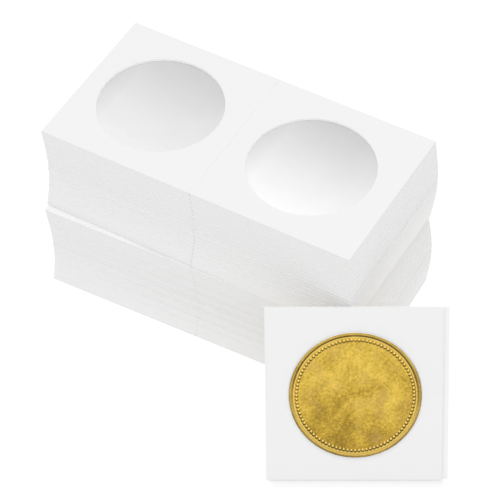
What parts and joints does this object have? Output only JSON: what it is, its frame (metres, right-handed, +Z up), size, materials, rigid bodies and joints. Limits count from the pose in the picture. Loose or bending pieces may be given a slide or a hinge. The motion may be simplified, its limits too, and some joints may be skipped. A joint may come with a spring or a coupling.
{
  "type": "coin holder flip pack",
  "caption": "Pile of flat two-window card coin flips with clear film, and one flip folded round a coin that leans on the pile.",
  "frame": {"origin": "middle of the pile's underside, on the surface it stands on", "axes": "+X along the strips towards the long leaves, +Y along the folds away from the leaning flip, +Z up"},
  "size_m": [0.1381, 0.0908, 0.061],
  "materials": {
    "card": "smooth white coated card, cut edges slightly rough",
    "film": "clear polyester film, glossy, lightly slack in the windows",
    "coin": "worn struck brass, mottled tone, darker in the rim's groove"
  },
  "bodies": {
    "lower_bundle": {"lower_cards_01": "card", "lower_cards_02": "card", "lower_cards_03": "card", "lower_cards_04": "card", "lower_cards_05": "card", "lower_cards_06": "card", "lower_cards_07": "card", "lower_cards_08": "card", "lower_cards_09": "card", "lower_cards_10": "card", "lower_films_01": "film", "lower_films_02": "film", "lower_films_03": "film", "lower_films_04": "film", "lower_films_05": "film", "lower_films_06": "film", "lower_films_07": "film", "lower_films_08": "film", "lower_films_09": "film", "lower_films_10": "film"},
    "upper_bundle": {"upper_cards_01": "card", "upper_cards_02": "card", "upper_cards_03": "card", "upper_cards_04": "card", "upper_cards_05": "card", "upper_cards_06": "card", "upper_cards_07": "card", "upper_cards_08": "card", "upper_cards_09": "card", "upper_cards_10": "card", "upper_films_01": "film", "upper_films_02": "film", "upper_films_03": "film", "upper_films_04": "film", "upper_films_05": "film", "upper_films_06": "film", "upper_films_07": "film", "upper_films_08": "film", "upper_films_09": "film", "upper_films_10": "film"},
    "top_flip": {"top_short_leaf": "card", "top_short_film": "film", "top_fold": "card"},
    "top_flip_leaf": {"top_long_leaf": "card", "top_long_film": "film"},
    "holder_rear": {"holder_rear_leaf": "card", "holder_rear_film": "film", "holder_fold": "card"},
    "holder_front": {"holder_front_leaf": "card", "holder_front_film": "film"},
    "coin": {"coin": "coin"}
  },
  "joints": [
    {"name": "upper_bundle_lift", "type": "slide", "parent": "lower_bundle", "child": "upper_bundle", "axis": [0, 0, 1], "range_m": [0, 0.05]},
    {"name": "top_flip_lift", "type": "slide", "parent": "upper_bundle", "child": "top_flip", "axis": [0, 0, 1], "range_m": [0, 0.04]},
    {"name": "top_flip_fold", "type": "hinge", "parent": "top_flip", "child": "top_flip_leaf", "pos_m": [-0.0005, 0.00173, 0.06105], "axis": [-0.0349, -0.9994, 0], "range_deg": [0, 178]},
    {"name": "holder_tilt", "type": "hinge", "parent": "lower_bundle", "child": "holder_rear", "pos_m": [0.04191, -0.0611, 0], "axis": [0.8886, 0.4587, 0], "range_deg": [0, 31]},
    {"name": "holder_open", "type": "hinge", "parent": "holder_rear", "child": "holder_front", "pos_m": [0.04219, -0.06164, 0.00038], "axis": [0.243, -0.4709, -0.848], "range_deg": [0, 178]},
    {"name": "coin_turn", "type": "hinge", "parent": "holder_rear", "child": "coin", "pos_m": [0.05805, -0.0383, 0.02192], "axis": [0.389, -0.7536, 0.5299], "continuous": true}
  ]
}
